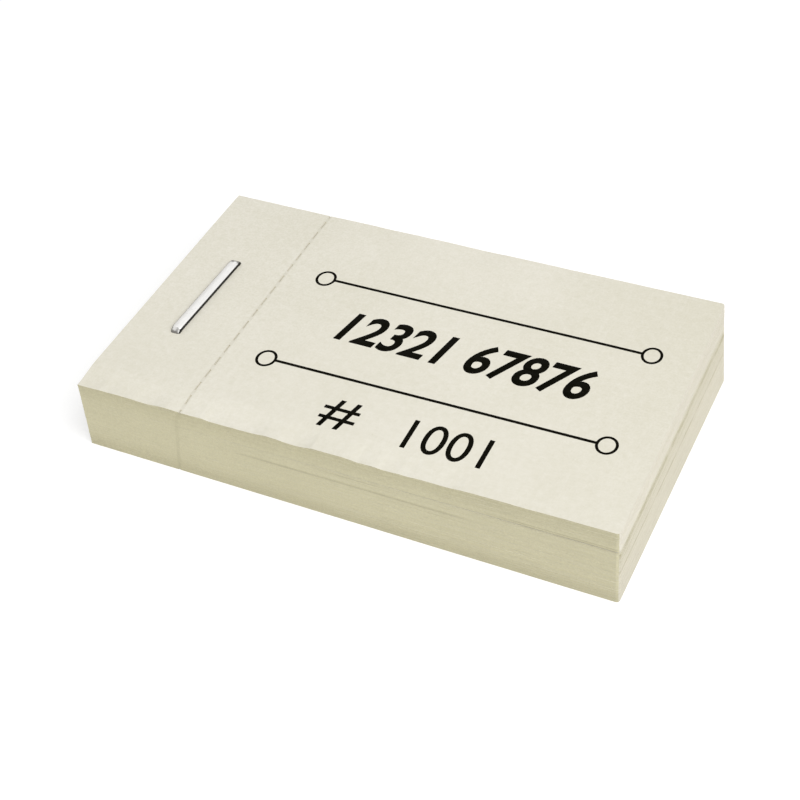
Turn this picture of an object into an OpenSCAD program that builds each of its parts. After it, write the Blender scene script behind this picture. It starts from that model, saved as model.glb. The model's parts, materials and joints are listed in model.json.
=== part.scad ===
// Book of tickets: paper leaves held together by one wire staple near one end.
// Every leaf is a short stub and a long ticket that meet along a perforated line,
// where slits alternate with small ties of paper. The leaves lie close at the stub end,
// where the staple squeezes them, and spread evenly towards their free end.
// X runs along the leaves with the stubs at -X, Z points up, and the origin is the
// middle of the face that the book lies on.

/* [Leaves] */
// Length of a leaf from the stub end to the free end
leaf_l = 58; // [48:0.5:80]
// Width of a leaf along the perforated line
leaf_w = 34.5; // [24:0.5:60]
// Height that one leaf takes up at the stub end
leaf_pitch = 0.0845; // [0.07:0.0005:0.12]
// Air between two leaves at the stub end
leaf_air = 0.004; // [0.002:0.001:0.01]
// Leaves in each wad that lifts as one
wad_leaves = 5; // [3:1:6]

/* [Perforated line] */
// Distance from the stub end to the perforated line
stub_l = 11.65; // [9:0.05:18]
// Distance from the middle of one slit to the next
slit_pitch = 2.05; // [1.5:0.05:4]
// Length of a slit
slit_l = 1.25; // [0.5:0.05:1.8]
// Width of a slit
slit_w = 0.2; // [0.06:0.01:0.3]
// Hairline between a stub and the ties of its ticket
tie_gap = 0.002; // [0.001:0.001:0.01]

/* [Free end] */
// Angle between the bottom leaf and the top one, in degrees
spread = 1.41; // [0:0.01:3]
// Distance that the cut end leans back between the bottom leaf and the top one
end_lean = 0.5; // [0:0.1:2]

/* [Staple] */
// Length of the crown over its two bends
crown_l = 13.2; // [8:0.1:22]
// Width of the flat wire
wire_w = 1; // [0.5:0.05:1.5]
// Thickness of the flat wire
wire_t = 0.6; // [0.3:0.05:0.8]
// Radius inside the bends of the wire
bend_r = 0.25; // [0.15:0.05:0.5]
// Length of each clinched end under the stack
clinch_l = 4.2; // [2:0.1:6]
// Length of the chisel point on each clinched end
point_l = 0.5; // [0.1:0.1:1]
// Distance from the stub end to the middle of the wire
staple_in = 5.6; // [2:0.05:9]
// Distance from the middle of the leaves to the middle of the crown, along Y
staple_aside = -0.35; // [-3:0.05:3]
// Leaves that the crown is pressed through, before it stops inside the next one
sunk_leaves = 1; // [0:1:5]
// Height at which the clinched ends clear the resting face
clinch_rise = 0.02; // [0.01:0.01:0.1]
// Gap between the wire and the paper around it
wire_fit = 0.02; // [0.01:0.01:0.1]

/* [Hidden] */
// Single leaves at the top of the book, and wads below them
singles = 9;
wads = 18;
leaf_count = singles + wads * wad_leaves + 1;
top_level = leaf_count - 1;

leaf_t = leaf_pitch - leaf_air;
stack_h = top_level * leaf_pitch + leaf_t;
stub_end = -leaf_l / 2;
perf_x = stub_end + stub_l;
ticket_l = leaf_l - stub_l;
slits_each_side = ceil(leaf_w / 2 / slit_pitch);

// The dent under the crown ends halfway through a leaf, so that no sliver of paper is left
crown_sink = (sunk_leaves + 0.5) * leaf_pitch - wire_fit;
wire_top = stack_h + staple_in * sin(spread) - crown_sink + wire_t;
wire_h = wire_top - clinch_rise;
clinch_gap = crown_l - 2 * clinch_l;

paper_colour = "#e4dfd3";
steel_colour = "#d9dadc";
$fn = 48;

// Levels count up from the last leaf at 0. Singles and wads are numbered from the top.
function single_level(n) = leaf_count - n;
function wad_levels(n) = [
    for (i = [1:wad_leaves]) leaf_count - singles - (n - 1) * wad_leaves - i
];

// Rectangle with rounded corners around the origin
module rounded_rectangle(size, r) {
    square([size.x - 2 * r, size.y], center = true);
    square([size.x, size.y - 2 * r], center = true);
    for (x = [-1, 1], y = [-1, 1])
        translate([x * (size.x / 2 - r), y * (size.y / 2 - r)])
            circle(r);
}

// Space between the two clinched ends, with a slope that leaves a chisel point on each
module end_gap(grow) {
    half = clinch_gap / 2 - grow;
    polygon([
        [-half - point_l, -wire_t],
        [half + point_l, -wire_t],
        [half + point_l, 0],
        [half, wire_t],
        [half, 2 * wire_t],
        [-half, 2 * wire_t],
        [-half, wire_t],
        [-half - point_l, 0]
    ]);
}

// The bent wire, made thicker on every side by grow
module wire(grow = 0) {
    outside = [crown_l + 2 * grow, wire_h + 2 * grow];
    inside = outside - 2 * (wire_t + 2 * grow) * [1, 1];
    translate([stub_end + staple_in, staple_aside, clinch_rise + wire_h / 2])
        rotate([90, 0, 90])
            linear_extrude(wire_w + 2 * grow, center = true)
                difference() {
                    rounded_rectangle(outside, bend_r + wire_t + grow);
                    rounded_rectangle(inside, bend_r - grow);
                    translate([0, -wire_h / 2])
                        end_gap(grow);
                }
}

// Row of slits across a leaf, from start to the far side of the slit along X
module slit_row(start) {
    for (i = [-slits_each_side:slits_each_side - 1])
        translate([start, (i + 0.5) * slit_pitch - slit_l / 2])
            square([slit_w - start, slit_l]);
}

// Puts a leaf that is drawn along X from its stub end at its level in the spread stack
module at_level(level) {
    translate([stub_end, 0, level * leaf_pitch])
        rotate([0, -spread * level / top_level, 0])
            children();
}

// Stub of the leaf at a level, pierced and dented by the staple
module stub(level) {
    difference() {
        at_level(level)
            translate([0, -leaf_w / 2, 0])
                cube([stub_l, leaf_w, leaf_t]);
        wire(wire_fit);
    }
}

// Ticket of the leaf at a level, in line with its stub
module ticket(level) {
    free_l = ticket_l - end_lean * level / top_level;
    at_level(level)
        linear_extrude(leaf_t)
            translate([stub_l, 0])
                difference() {
                    translate([tie_gap, -leaf_w / 2])
                        square([free_l - tie_gap, leaf_w]);
                    slit_row(-slit_w);
                }
}

module staple() {
    color(steel_colour) wire();
}

// The leaf that the book lies on, whole, with its stub still tied to its ticket
module last_leaf() {
    color(paper_colour)
        difference() {
            linear_extrude(leaf_t)
                difference() {
                    square([leaf_l, leaf_w], center = true);
                    translate([perf_x, 0]) slit_row(0);
                }
            wire(wire_fit);
        }
}

module single_stub(n) {
    color(paper_colour) stub(single_level(n));
}

module single_ticket(n) {
    color(paper_colour) ticket(single_level(n));
}

module stub_wad(n) {
    color(paper_colour)
        for (level = wad_levels(n)) stub(level);
}

module ticket_wad(n) {
    color(paper_colour)
        for (level = wad_levels(n)) ticket(level);
}

staple();
last_leaf();
for (n = [1:singles]) {
    single_stub(n);
    single_ticket(n);
}
for (n = [1:wads]) {
    stub_wad(n);
    ticket_wad(n);
}
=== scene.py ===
# %% [markdown]
# # A stapled book of tickets
# A ticket book is about the simplest thing a printer binds: a hundred small leaves, one staple through
# the left end, and a row of slits that lets each ticket tear away from its stub. The CAD frame already
# holds every part at its true size and knows how the tickets turn, so this lesson only has to make the
# book look like paper, ink and wire. The first cell loads that frame and keeps its box for later.

# %% Load the frame
import json
import math
import random

import bpy
import bmesh
from mathutils import Matrix, Vector

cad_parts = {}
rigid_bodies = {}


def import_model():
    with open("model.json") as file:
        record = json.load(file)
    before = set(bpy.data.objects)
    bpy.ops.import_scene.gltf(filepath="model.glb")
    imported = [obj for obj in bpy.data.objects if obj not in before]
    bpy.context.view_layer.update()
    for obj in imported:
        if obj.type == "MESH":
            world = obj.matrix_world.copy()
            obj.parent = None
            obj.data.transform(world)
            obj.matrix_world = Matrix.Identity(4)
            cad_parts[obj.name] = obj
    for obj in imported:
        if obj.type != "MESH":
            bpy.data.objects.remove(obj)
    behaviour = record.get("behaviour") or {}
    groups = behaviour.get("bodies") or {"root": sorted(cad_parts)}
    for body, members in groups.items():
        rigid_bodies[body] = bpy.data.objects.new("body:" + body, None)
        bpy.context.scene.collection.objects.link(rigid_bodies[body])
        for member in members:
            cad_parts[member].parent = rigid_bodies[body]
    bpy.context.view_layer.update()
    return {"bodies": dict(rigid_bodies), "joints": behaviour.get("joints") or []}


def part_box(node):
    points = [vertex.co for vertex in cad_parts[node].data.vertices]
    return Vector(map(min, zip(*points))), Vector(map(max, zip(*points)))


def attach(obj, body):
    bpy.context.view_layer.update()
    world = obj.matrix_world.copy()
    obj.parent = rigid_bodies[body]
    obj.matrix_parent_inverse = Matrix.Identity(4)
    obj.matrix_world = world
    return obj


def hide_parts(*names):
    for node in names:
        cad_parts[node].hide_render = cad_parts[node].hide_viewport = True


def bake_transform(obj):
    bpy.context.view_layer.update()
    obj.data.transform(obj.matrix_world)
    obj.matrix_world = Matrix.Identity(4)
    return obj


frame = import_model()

MM = 0.001

# %% [markdown]
# ## Sizes
# Nothing below repeats a length that the frame can tell. The last leaf lies flat and whole, so its box
# is the size and the thickness of the sheet. The lowest corner of each stub gives its level, and the
# step from the first stub to the second is the pitch of the pile. The hinge lies on the perforated
# line, along the top leaf.

# %% Sizes read from the frame
leaf_low, leaf_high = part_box("last_leaf")
stub_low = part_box("stub_1")[0]
hinge = Vector(frame["joints"][0]["pos_m"])
LEAF_L = leaf_high.x - leaf_low.x
LEAF_W = leaf_high.y - leaf_low.y
LEAF_T = leaf_high.z - leaf_low.z
STUB_X = leaf_low.x
PERF_X = hinge.x
STUB_L = PERF_X - STUB_X
TICKET_L = LEAF_L - STUB_L
PITCH = stub_low.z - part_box("stub_2")[0].z
TOP_LEVEL = round(stub_low.z / PITCH)
STACK_H = stub_low.z + LEAF_T
TOP_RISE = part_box("ticket_1")[1].z - STACK_H
print("leaf", round(LEAF_L / MM, 2), "x", round(LEAF_W / MM, 2), "mm,", TOP_LEVEL + 1, "leaves")

# %% [markdown]
# ## Slits and corners
# A box can't show the slits or the rounding of a corner, so these sizes are written here. The slits of
# the top leaf gape a little wider than the rest, because nothing lies on it to keep them shut.

# %% Sizes of slits and corners
SLIT_PITCH = 2.05 * MM
SLIT_L = 1.25 * MM
SLIT_W = 0.20 * MM
OPEN_SLIT_W = 0.28 * MM
CORNER_R = 0.32 * MM
print("a tie between two slits is", round((SLIT_PITCH - SLIT_L) / MM, 2), "mm wide")

# %% [markdown]
# ## Which leaf belongs to which body
# The tickets that lift by themselves are single leaves, and deeper in the book five leaves move as one
# wad. The height of each stub's box gives the levels of its leaves, counted up from the last leaf.

# %% Levels of every ticket body
tickets = [name for name in frame["bodies"] if name.startswith("ticket")]


def lowest_level(ticket):
    return round(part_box(ticket.replace("ticket", "stub"))[0].z / PITCH)


def levels_of(ticket):
    first = lowest_level(ticket)
    above = [lowest_level(other) for other in tickets if lowest_level(other) > first]
    return list(range(first, min(above, default=TOP_LEVEL + 1)))


levels = {ticket: levels_of(ticket) for ticket in tickets}
stub_levels = sorted(level for group in levels.values() for level in group)
print(len(tickets), "ticket bodies carry", len(stub_levels), "leaves")

# %% [markdown]
# ## How high the leaves stand
# Handled paper never closes flat again. Each leaf stands a little above the one below, a few gaps stay
# wider than the rest, and the leaves of the upper quarter lie loose. A real pile could be simulated, but
# a running sum of small seeded gaps gives the same stack, never lets two leaves cross, and can be
# repeated exactly. A gap here is a weight, and all of them together make up the rise of the free end.

# %% Seeded gaps between the leaves
WIDE_GAPS = {75: 4.0, 73: 5.0, 72: 8.0, 70: 4.0, 66: 3.0, 57: 4.0, 42: 4.0, 33: 3.0, 21: 4.0, 10: 2.0}
FAN_FROM = 72
LOOSE_FROM = 75
rng = random.Random(11)


def leaf_lifts():
    gaps = [0.0]
    for level in range(1, TOP_LEVEL + 1):
        usual = 2.0 if level >= LOOSE_FROM else 1.0
        gaps.append(WIDE_GAPS.get(level, usual) * rng.uniform(0.7, 1.3))
    total = sum(gaps)
    lifts = []
    climb = 0.0
    for gap in gaps:
        climb += gap / total * TOP_RISE
        lifts.append(climb)
    return lifts


lifts = leaf_lifts()
print("free end of the top ticket stands", round((STACK_H + lifts[-1]) / MM, 2), "mm high")

# %% [markdown]
# ## A pile that isn't square
# A guillotine pushes the pile a little before it cuts, so no book comes out square. Here the free end
# leans back and turns, the perforated line creeps towards the stubs from the top leaf down, the front
# cut drifts in towards the free end, and the stub end leans. Above a certain level the leaves have also
# fanned at the far corner. All of it grows smoothly with the level, and each leaf adds a hundredth of a
# millimetre of its own, which is what makes a cut edge look like many leaves.

# %% Twist, lean, creep and drift of a leaf
LOW_TWIST = -0.28 * MM
TOP_TWIST = 0.50 * MM
END_LEAN = 0.57 * MM
END_SKEW = -0.60 * MM
CREEP = 0.70 * MM
UPPER_CREEP = 0.39 * MM
UPPER_SHARE = 0.18
DRIFT = 0.35 * MM
STUB_LEAN = 0.34 * MM
UPRIGHT_SHARE = 0.6


def ease(low, high, value):
    share = min(max((value - low) / (high - low), 0.0), 1.0)
    return share * share * (3 - 2 * share)


def trim_of(level):
    share = level / TOP_LEVEL
    depth = 1 - share
    fan = max(level - FAN_FROM, 0) / (TOP_LEVEL - FAN_FROM)
    return {
        "twist": LOW_TWIST * (share - fan) + TOP_TWIST * fan,
        "lean": -END_LEAN * share + rng.gauss(0, 0.012) * MM,
        "skew": END_SKEW * share,
        "creep": -CREEP * depth - UPPER_CREEP * ease(0.0, UPPER_SHARE, depth),
        "drift": DRIFT * depth,
        "stub_lean": STUB_LEAN * (UPRIGHT_SHARE - share),
        "side": rng.gauss(0, 0.008) * MM,
        "slip": rng.gauss(0, 0.012) * MM,
    }


print("the perforated line creeps by", round((CREEP + UPPER_CREEP) / MM, 2), "mm")

# %% [markdown]
# ## Shade in the gaps
# Where leaves stand apart, and where the pile meets the table, the edges lie in shade, so a few bands
# of neighbouring edges are painted darker: this is painted shade. Painting them would need an image.
# Instead each band is its middle level, its reach in leaves and its depth. A band on the long side also
# has the two places, in millimetres, where it starts and stops.

# %% Bands of painted shade in the gaps
END_BANDS = (
    (66.8, 4.2, 0.40), (61.7, 1.2, 0.16), (57.8, 1.2, 0.20), (53.0, 1.0, 0.10), (41.5, 2.2, 0.36),
    (0.0, 1.6, 0.16),
)
SIDE_BANDS = (
    (74.7, 1.2, 0.25, 16, 31), (71.7, 1.2, 0.25, 17, 31), (67.6, 1.3, 0.21, -2, 5),
    (56.8, 1.7, 0.26, -11, 14), (51.0, 1.0, 0.12, 2, 14),
)


# One band of painted shade, where the gap between these leaves lies dark.
def gap_shade(level, middle, reach, depth):
    return depth * max(0.0, 1 - ((level - middle) / reach) ** 2)


def gap_shade_on_end(level):
    return max(gap_shade(level, *band) for band in END_BANDS)


def gap_shade_on_side(level):
    return max((gap_shade(level, *band[:3]), *band[3:]) for band in SIDE_BANDS)


print("bands of dust:", len(END_BANDS), "on the end and", len(SIDE_BANDS), "on the side")

# %% [markdown]
# ## The tone of each edge
# The long side is palest in the middle of the pile and darker towards its top and bottom. The free
# end is painted palest where the leaves have fanned, as painted light on the slope of their ends. A
# small seeded change from leaf to leaf keeps the edges apart. With that, everything about a leaf is
# known and goes into one list, by level, which later rides along as attributes of the mesh.

# %% Everything about each leaf
# The fanned ends are painted paler: painted light on their sloping ends.
FANNED_LIT_TONE = 0.88
MIDDLE_TONE = 0.65
LOWER_TONE = 0.73
MIDDLE_FROM = 42


def side_tone(share):
    return 0.90 - 0.16 * ease(0.64, 1.0, share) - 0.20 * (1 - ease(0.0, 0.3, share))


def end_tone(level):
    if level > FAN_FROM:
        return FANNED_LIT_TONE
    return MIDDLE_TONE if level > MIDDLE_FROM else LOWER_TONE


def tones_of(level):
    line, line_from, line_to = gap_shade_on_side(level)
    return {
        "side_tone": side_tone(level / TOP_LEVEL) + rng.uniform(-0.016, 0.016),
        "side_line": line,
        "line_from": float(line_from),
        "line_to": float(line_to),
        "end_tone": end_tone(level) + rng.uniform(-0.045, 0.045),
        "end_line": gap_shade_on_end(level),
    }


lies = []
for level, lift in enumerate(lifts):
    lies.append({"level": float(level), "lift": lift, **trim_of(level), **tones_of(level)})
print(len(lies), "leaves with", len(lies[0]), "values each")

# %% [markdown]
# ## Writing node trees as sums
# Node trees are easier to read as formulas than as lists of links. A Value wraps one socket, and
# Python's operators on it add Math nodes. The reflected forms let a plain number stand first, as in
# 1 - mask.

# %% A small class for sockets
class Value:
    def __init__(self, tree, socket):
        self.tree = tree
        self.socket = socket

    def other(self, name):
        return Value(self.tree, self.socket.node.outputs[name])

    def __add__(self, term):
        return self.tree.math("ADD", self, term)

    def __radd__(self, term):
        return self.tree.math("ADD", term, self)

    def __sub__(self, term):
        return self.tree.math("SUBTRACT", self, term)

    def __rsub__(self, term):
        return self.tree.math("SUBTRACT", term, self)

    def __mul__(self, term):
        return self.tree.math("MULTIPLY", self, term)

    def __rmul__(self, term):
        return self.tree.math("MULTIPLY", term, self)

    def __truediv__(self, term):
        return self.tree.math("DIVIDE", self, term)

    def __rtruediv__(self, term):
        return self.tree.math("DIVIDE", term, self)

    def __pow__(self, term):
        return self.tree.math("POWER", self, term)

    def __rpow__(self, term):
        return self.tree.math("POWER", term, self)

    def __lt__(self, term):
        return self.tree.math("LESS_THAN", self, term)

    def __gt__(self, term):
        return self.tree.math("GREATER_THAN", self, term)

    def __abs__(self):
        return self.tree.math("ABSOLUTE", self)


print("reflected forms:", [name for name in vars(Value) if name.startswith("__r")])

# %% [markdown]
# Every other node comes from one method, which sets the node's settings first and then its sockets. A
# socket takes a link from a Value, several links from a list of them, and anything else as its own
# value. The same two classes serve geometry and shaders.

# %% A small class for trees
class Tree:
    def __init__(self, nodes):
        self.nodes = nodes

    def plug(self, socket, value):
        if isinstance(value, list):
            for part in value:
                self.nodes.links.new(part.socket, socket)
        elif isinstance(value, Value):
            self.nodes.links.new(value.socket, socket)
        else:
            socket.default_value = value

    def node(self, kind, settings=None, sockets=None, output=0):
        made = self.nodes.nodes.new(kind)
        for name, value in (settings or {}).items():
            setattr(made, name, value)
        for name, value in (sockets or {}).items():
            self.plug(made.inputs[name], value)
        return Value(self, made.outputs[output])

    def math(self, operation, *terms):
        return self.node("ShaderNodeMath", {"operation": operation}, dict(enumerate(terms)))

    def clamp(self, value, low, high):
        return self.math("MINIMUM", self.math("MAXIMUM", value, low), high)

    def smooth(self, value, low, high):
        settings = {"interpolation_type": "SMOOTHSTEP"}
        return self.node("ShaderNodeMapRange", settings, {0: value, 1: low, 2: high, 3: 0.0, 4: 1.0})

    def split(self, vector):
        parts = self.node("ShaderNodeSeparateXYZ", None, {0: vector})
        return parts, parts.other("Y"), parts.other("Z")

    def point(self, x, y, z):
        return self.node("ShaderNodeCombineXYZ", None, {0: x, 1: y, 2: z})

    def named(self, name):
        return self.node("GeometryNodeInputNamedAttribute", {"data_type": "FLOAT"}, {"Name": name})


print("a tree can make:", [name for name in vars(Tree) if not name.startswith("_")])

# %% [markdown]
# ## A geometry tree with named inputs
# Leaves and wire follow rules, so Geometry Nodes can make them. A tree gets named inputs for its sizes,
# and it ends by making instances real and giving each face its material, which is chosen by a face
# attribute called cut.

# %% Begin and end a geometry tree
SOCKETS = {"number": "NodeSocketFloat", "count": "NodeSocketInt", "object": "NodeSocketObject"}


def geometry_tree(name, sizes):
    group = bpy.data.node_groups.new(name, "GeometryNodeTree")
    group.interface.new_socket("Geometry", in_out="INPUT", socket_type="NodeSocketGeometry")
    for label, kind in sizes.items():
        group.interface.new_socket(label, in_out="INPUT", socket_type=SOCKETS[kind])
    group.interface.new_socket("Geometry", in_out="OUTPUT", socket_type="NodeSocketGeometry")
    tree = Tree(group)
    source = tree.node("NodeGroupInput")
    inputs = {"Geometry": source}
    for label in sizes:
        inputs[label] = source.other(label)
    return tree, inputs


def end_tree(tree, geometry, materials):
    geometry = tree.node("GeometryNodeRealizeInstances", None, {"Geometry": geometry})
    for kind, material in enumerate(materials):
        cut = tree.named("cut")
        chosen = (cut > kind - 0.5) * (cut < kind + 0.5)
        sockets = {"Geometry": geometry, "Selection": chosen, "Material": material}
        geometry = tree.node("GeometryNodeSetMaterial", None, sockets)
    output = tree.nodes.nodes.new("NodeGroupOutput")
    tree.plug(output.inputs[0], geometry)


print("socket kinds:", sorted(SOCKETS.values()))

# %% [markdown]
# The tree is handed to a Nodes modifier on a source mesh. Its inputs are found by name here, but the
# modifier wants each socket's identifier, so that is looked up first. The result is kept as a plain
# mesh at the origin, and the source and its modifier are thrown away.

# %% Run a geometry tree
def add_object(name, data):
    made = bpy.data.objects.new(name, data)
    bpy.context.scene.collection.objects.link(made)
    return made


def run_tree(tree, name, mesh, sizes):
    source = add_object(name + "_source", mesh)
    modifier = source.modifiers.new("Nodes", "NODES")
    modifier.node_group = tree.nodes
    for label, value in sizes.items():
        modifier[tree.nodes.interface.items_tree[label].identifier] = value
    graph = bpy.context.evaluated_depsgraph_get()
    made = bpy.data.meshes.new_from_object(source.evaluated_get(graph))
    made.name = name
    source.modifiers.remove(modifier)
    bpy.data.objects.remove(source)
    return add_object(name, made)


# %% [markdown]
# ## Tools for materials
# Colours are written as they look on a screen, from 0 to 255, and turned into the linear values that
# Blender reckons with. Patterns read Object coordinates, scaled to millimetres, so that a figure in a
# material is a size on the sheet and nothing slides when the book is turned.

# %% Colours, coordinates and noise
def rgb(red, green, blue):
    def linear(level):
        share = level / 255
        return share / 12.92 if share <= 0.04045 else ((share + 0.055) / 1.055) ** 2.4
    return (linear(red), linear(green), linear(blue), 1.0)


def millimetres(tree, stretch=(1.0, 1.0, 1.0)):
    place = tree.node("ShaderNodeTexCoord", None, None, "Object")
    scale = tuple(axis / MM for axis in stretch)
    return tree.node("ShaderNodeVectorMath", {"operation": "MULTIPLY"}, {0: place, 1: scale})


def noise(tree, place, scale, detail=2.0, rough=0.5):
    sockets = {"Vector": place, "Scale": scale, "Detail": detail, "Roughness": rough}
    return tree.node("ShaderNodeTexNoise", {"noise_dimensions": "3D"}, sockets)


def mix_colour(tree, factor, first, second):
    settings = {"data_type": "RGBA", "blend_type": "MIX", "clamp_factor": True}
    return tree.node("ShaderNodeMix", settings, {0: factor, 6: first, 7: second}, 2)


def attribute(tree, name):
    return tree.node("ShaderNodeAttribute", {"attribute_name": name}, None, "Fac")


print("middle grey in linear light:", round(rgb(128, 128, 128)[0], 3))

# %% [markdown]
# A finish is more than a colour. It has a roughness that changes with the pattern, one gloss for the
# whole surface, which is set on the shader's own socket, and fine bumps that catch the light.

# %% Colour, roughness and bumps of a finish
def new_material(name):
    material = bpy.data.materials.new(name)
    material.use_nodes = True
    tree = Tree(material.node_tree)
    shader = material.node_tree.nodes["Principled BSDF"]
    return material, tree, shader


def set_finish(tree, shader, colour, rough, gloss=0.5):
    tree.plug(shader.inputs["Base Color"], colour)
    tree.plug(shader.inputs["Roughness"], rough)
    shader.inputs["Specular IOR Level"].default_value = gloss


def set_bumps(tree, shader, height, strength, depth):
    sockets = {"Strength": strength, "Distance": depth, "Height": height}
    tree.plug(shader.inputs["Normal"], tree.node("ShaderNodeBump", None, sockets))


print("materials so far:", len(bpy.data.materials))

# %% [markdown]
# ## What is in the paper
# The stock is an uncoated cream paper. Fibres lie in it in all directions: a fibre is drawn where a
# stretched noise passes its middle value, which gives fine wandering lines without placing one. A fleck
# is the middle of a Voronoi cell, kept only where the cell's random colour says so. Along the
# perforated line the blades have bruised the paper, and the same darkening is painted shade for the
# insides of the slits; it creeps from leaf to leaf with the line.

# %% Fibres, flecks, bruises and painted slit shade
# Width of the darkened line along the perforation: a bruise, and painted shade of the slits.
BRUISE_AND_SHADE_CORE = 0.14
BRUISE_AND_SHADE_RIM = 0.24


def fibres(tree, stretch, scale):
    wander = noise(tree, millimetres(tree, stretch), scale, 1.0)
    return (1.0 - abs(wander - 0.5) * 2.0) ** 26.0


def flecks(tree, scale, size, rarity):
    settings = {"feature": "F1", "voronoi_dimensions": "3D"}
    cell = tree.node("ShaderNodeTexVoronoi", settings, {"Vector": millimetres(tree), "Scale": scale})
    lot = tree.node("ShaderNodeSeparateColor", None, {0: cell.other("Color")})
    return (1.0 - tree.smooth(cell, size * 0.5, size)) * (lot > rarity)


def bruise_and_slit_shade(tree, x):
    middle = (PERF_X + SLIT_W / 2) / MM + attribute(tree, "creep") / MM
    return 1.0 - tree.smooth(abs(x - middle), BRUISE_AND_SHADE_CORE, BRUISE_AND_SHADE_RIM)


print("a bruise is", 2 * BRUISE_AND_SHADE_RIM, "mm wide")

# %% [markdown]
# ## The face of the paper
# Close up a sheet is not one colour. Soft clouds some millimetres wide come from uneven pulp, a finer
# mottle lies over them, and the grain is painted stronger away from the middle of the near side, as
# painted shade where light grazes the tooth. The free end is a trace darker, more so towards the back,
# and below the top leaf the paper is darkened more along the perforated line, as painted shade seen
# through its slits. An image could hold all this, but noise needs no file and stays sharp at any
# distance.

# %% Paper face material
CLOUDS_PER_MM = 0.10
MOTTLE_PER_MM = 1.5
GRAIN_PER_MM = 4.4
TOOTH_DEPTH = 0.03 * MM
PULP = (rgb(223, 219, 202), rgb(235, 231, 218))
FREE_END_TONE = rgb(208, 203, 180)
BRUISED_AND_SHADED = rgb(166, 160, 138)
FIBRE = rgb(244, 241, 232)
DARK_FLECK = rgb(196, 188, 166)
PALE_FLECK = rgb(248, 246, 238)


def paper_face():
    material, tree, shader = new_material("cream_paper")
    place = millimetres(tree)
    clouds = noise(tree, place, CLOUDS_PER_MM, 2.0)
    mottle = noise(tree, place, MOTTLE_PER_MM, 3.0, 0.6)
    grain = noise(tree, place, GRAIN_PER_MM, 2.0, 0.6)
    hairs = fibres(tree, (0.5, 1.6, 1.0), 1.0) + fibres(tree, (1.7, 0.45, 1.0), 0.9)
    x, y, _ = tree.split(place)
    ends = tree.smooth(abs(x - 6.0), 8.0, 24.0)
    # Grain grows towards the back and the ends: painted shade of light grazing the tooth.
    grain_and_grazing_shade = (grain - 0.5) * (0.35 + tree.smooth(y, -14.0, 5.0) * 0.9 + ends * 0.6)
    shade = 0.5 + (clouds - 0.5) * 0.8 + (mottle - 0.5) * 1.1 + grain_and_grazing_shade
    colour = mix_colour(tree, tree.clamp(shade, 0.0, 1.0), *PULP)
    # Darker towards the free end, and more so towards the back.
    toward_free_end = tree.smooth(x, 8.0, 29.0) * (tree.smooth(y, -14.0, 17.0) * 0.26 + 0.09)
    colour = mix_colour(tree, toward_free_end, colour, FREE_END_TONE)
    upper = attribute(tree, "level") > TOP_LEVEL - 0.5
    # A light bruise on the top leaf; below it the stronger darkening is painted shade seen through the
    # slits.
    colour = mix_colour(tree, bruise_and_slit_shade(tree, x) * (0.55 - upper * 0.40), colour, BRUISED_AND_SHADED)
    colour = mix_colour(tree, hairs * 0.12, colour, FIBRE)
    colour = mix_colour(tree, flecks(tree, 0.9, 0.085, 0.70) * 0.22, colour, DARK_FLECK)
    colour = mix_colour(tree, flecks(tree, 1.1, 0.080, 0.65) * 0.35, colour, PALE_FLECK)
    set_finish(tree, shader, colour, 0.80 + mottle * 0.12, 0.18)
    set_bumps(tree, shader, mottle * 0.55 + grain * 0.30 + hairs * 0.15, 0.5, TOOTH_DEPTH)
    return material


cream_paper = paper_face()
print(cream_paper.name, "has", len(cream_paper.node_tree.nodes), "nodes")

# %% [markdown]
# ## Cut edges
# A guillotine cuts the whole pile at once, and the cut shows every leaf as a fine line. Each leaf
# brings its tone as an attribute, so neighbouring edges differ. On the long side the painted shade of
# the gaps is kept to its stretch of the leaf. On the free end slow noise breaks its bands up, and the
# short end of the stubs, which is the same kind of edge, keeps one even tone.

# %% Tones along the cut edges
STUB_END_TONE = 0.76


def tone_on_side(tree, place):
    x, _, _ = tree.split(place)
    first = attribute(tree, "line_from")
    last = attribute(tree, "line_to")
    window = tree.smooth(x, first - 2.0, first + 3.0) * (1.0 - tree.smooth(x, last - 3.0, last + 2.0))
    # side_line is painted shade of the gaps between leaves, kept to its stretch of the side.
    return attribute(tree, "side_tone") - attribute(tree, "side_line") * window


def tone_on_end(tree, place):
    x, y, _ = tree.split(place)
    drawn_out = tree.point(0.0, y * 0.35, attribute(tree, "level") * 0.12)
    broken = tree.smooth(noise(tree, drawn_out, 1.0), 0.35, 0.62)
    # end_line is painted shade of the gaps between leaves, broken up by slow noise.
    line = attribute(tree, "end_line") * (0.35 + broken * 0.75)
    tone = attribute(tree, "end_tone") + tree.smooth(y, -10.0, 17.0) * 0.08 - line
    return STUB_END_TONE + (tone - STUB_END_TONE) * tree.smooth(x, -27.0, -15.0)


print("edge values:", [name for name in lies[0] if name.endswith(("tone", "line"))])

# %% [markdown]
# The long sides came out a little yellower than the faces and the free end paler, but the finish is the
# same, so one function makes both. Noise drawn out along the leaf gives the streaks that a blade leaves.

# %% Cut edge materials
EDGE_CLOUDS_PER_MM = 0.22
EDGE_GRAIN_PER_MM = 4.2
SIDE_COLOURS = (rgb(140, 132, 97), rgb(227, 221, 188))
END_COLOURS = (rgb(150, 142, 76), rgb(240, 235, 224))
STREAKS_ALONG_X = (0.35, 1.0, 5.0)
STREAKS_ALONG_Y = (1.0, 0.35, 5.0)


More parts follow.
